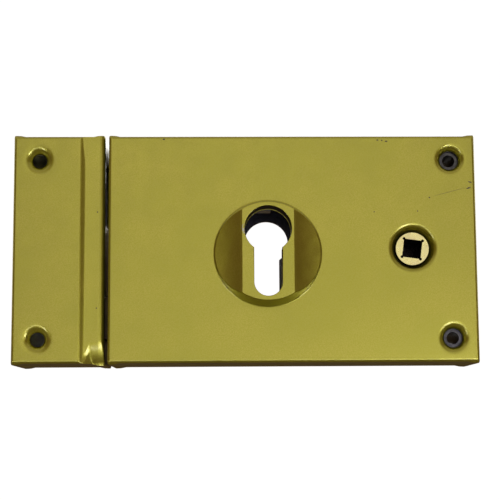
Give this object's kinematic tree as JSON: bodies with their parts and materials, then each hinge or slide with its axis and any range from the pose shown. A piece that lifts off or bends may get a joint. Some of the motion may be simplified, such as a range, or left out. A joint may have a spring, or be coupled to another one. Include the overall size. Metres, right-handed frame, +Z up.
{
  "type": "rim box lock",
  "caption": "Surface-mounted lock case with sliding latch, two-throw deadbolt, profile-cylinder rose, spindle follower and stepped box keep.",
  "frame": {"origin": "centre of the lock case's mounting face, on the face of the door", "axes": "+Z up, +X along the case away from the keep, +Y into the door; the viewer in the room stands on the -Y side"},
  "size_m": [0.176, 0.0436, 0.088],
  "materials": {
    "gold_lacquer": "semi-gloss metallic lacquer",
    "zinc_steel": "zinc-plated steel sheet",
    "turned_steel": "turned steel",
    "bolt_steel": "nickel-plated steel",
    "spring_steel": "drawn spring wire",
    "brass": "machined pale brass"
  },
  "bodies": {
    "case": {"back_plate": "zinc_steel", "cover": "gold_lacquer", "forend_plate": "zinc_steel", "forend_rivets": "turned_steel", "cylinder_rose": "gold_lacquer", "rose_screws": "turned_steel", "upper_screw_tube": "turned_steel", "lower_screw_tube": "turned_steel", "cover_pillars": "turned_steel", "cover_screws": "turned_steel", "bolt_guide_posts": "turned_steel", "bolt_guide_sleeves": "turned_steel", "bolt_detent_spring": "spring_steel", "detent_spring_block": "turned_steel", "detent_spring_rivet": "turned_steel", "latch_guide_posts": "turned_steel", "spring_bracket": "zinc_steel", "bracket_rivets": "turned_steel", "latch_spring": "spring_steel", "key_lever_pivot": "turned_steel"},
    "deadbolt": {"bolt_head": "bolt_steel", "bolt_tail": "zinc_steel", "bolt_rivets": "turned_steel"},
    "latch": {"latch_head": "bolt_steel", "latch_tail": "zinc_steel", "latch_rivets": "turned_steel", "follower_pins": "turned_steel", "latch_spring_rod": "turned_steel"},
    "follower": {"follower": "brass"},
    "key_lever": {"key_lever": "zinc_steel", "key_lever_pin": "turned_steel"},
    "keep": {"keep_box": "gold_lacquer", "keep_back_plate": "zinc_steel", "keep_pillars": "turned_steel", "keep_screws": "turned_steel"}
  },
  "joints": [
    {"name": "follower_turn", "type": "hinge", "parent": "case", "child": "follower", "pos_m": [0.0457, 0, 0], "axis": [0, 1, 0], "range_deg": [0, 30]},
    {"name": "latch_slide", "type": "slide", "parent": "case", "child": "latch", "axis": [1, 0, 0], "range_m": [0, 0.012], "stiffness_N_per_m": 400, "springref_m": -0.012, "deforming": ["latch_spring"]},
    {"name": "key_lever_swing", "type": "hinge", "parent": "case", "child": "key_lever", "pos_m": [0.0066, 0, 0.025], "axis": [0, -1, 0], "range_deg": [0, 13.69]},
    {"name": "bolt_slide", "type": "slide", "parent": "case", "child": "deadbolt", "axis": [-1, 0, 0], "range_m": [0, 0.02], "deforming": ["bolt_detent_spring"]},
    {"name": "keep_draw_off", "type": "slide", "parent": "case", "child": "keep", "axis": [-1, 0, 0], "range_m": [0, 0.04]}
  ],
  "couplings": [
    {"joint": "follower_turn", "follows": "latch_slide", "rad_per_m": 43.633},
    {"joint": "key_lever_swing", "follows": "latch_slide", "rad_per_m": 19.905}
  ]
}
